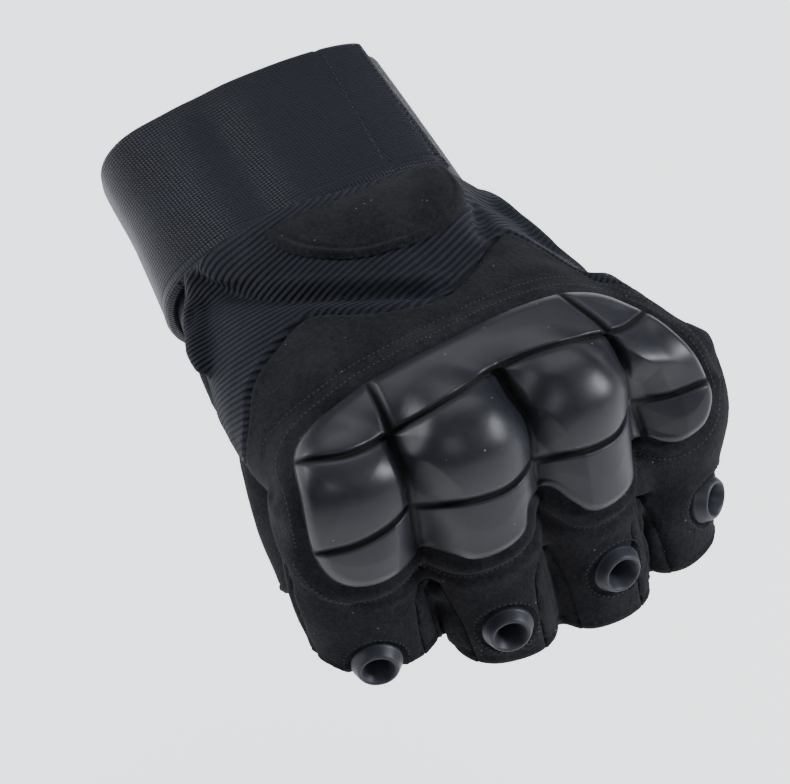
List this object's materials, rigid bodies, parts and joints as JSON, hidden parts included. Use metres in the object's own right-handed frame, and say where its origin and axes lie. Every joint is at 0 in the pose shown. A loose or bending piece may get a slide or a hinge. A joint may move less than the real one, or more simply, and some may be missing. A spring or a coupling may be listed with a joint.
{
  "type": "fingerless tactical glove",
  "caption": "Black fingerless left-hand glove in its clenched-fist shape, with a moulded knuckle guard, finger eyelets, a ribbed stretch panel and a wide wrist strap.",
  "frame": {"origin": "middle of the wrist inside the strap, where the wrist sits", "axes": "+X from the wrist to the knuckles, +Y to the little finger, +Z out through the back of the hand"},
  "size_m": [0.1563, 0.102, 0.0827],
  "materials": {
    "suede": "matte brushed suede",
    "knit": "matte ribbed stretch knit",
    "webbing": "woven nylon with a soft sheen",
    "rubber": "satin moulded rubber"
  },
  "bodies": {
    "root": {"wrist_strap": "webbing", "cuff_band": "webbing", "oval_patch": "suede", "vent_index": "rubber", "vent_middle": "rubber", "vent_ring": "rubber", "vent_little": "rubber", "index_outer_strip": "suede", "middle_inner_strip": "suede", "middle_outer_strip": "suede", "ring_inner_strip": "suede", "ring_outer_strip": "suede", "little_inner_strip": "suede", "back_panel": "suede", "knit_panel": "knit", "palm_panel": "suede", "thumb_panel": "suede", "knuckle_guard": "rubber"}
  },
  "joints": []
}
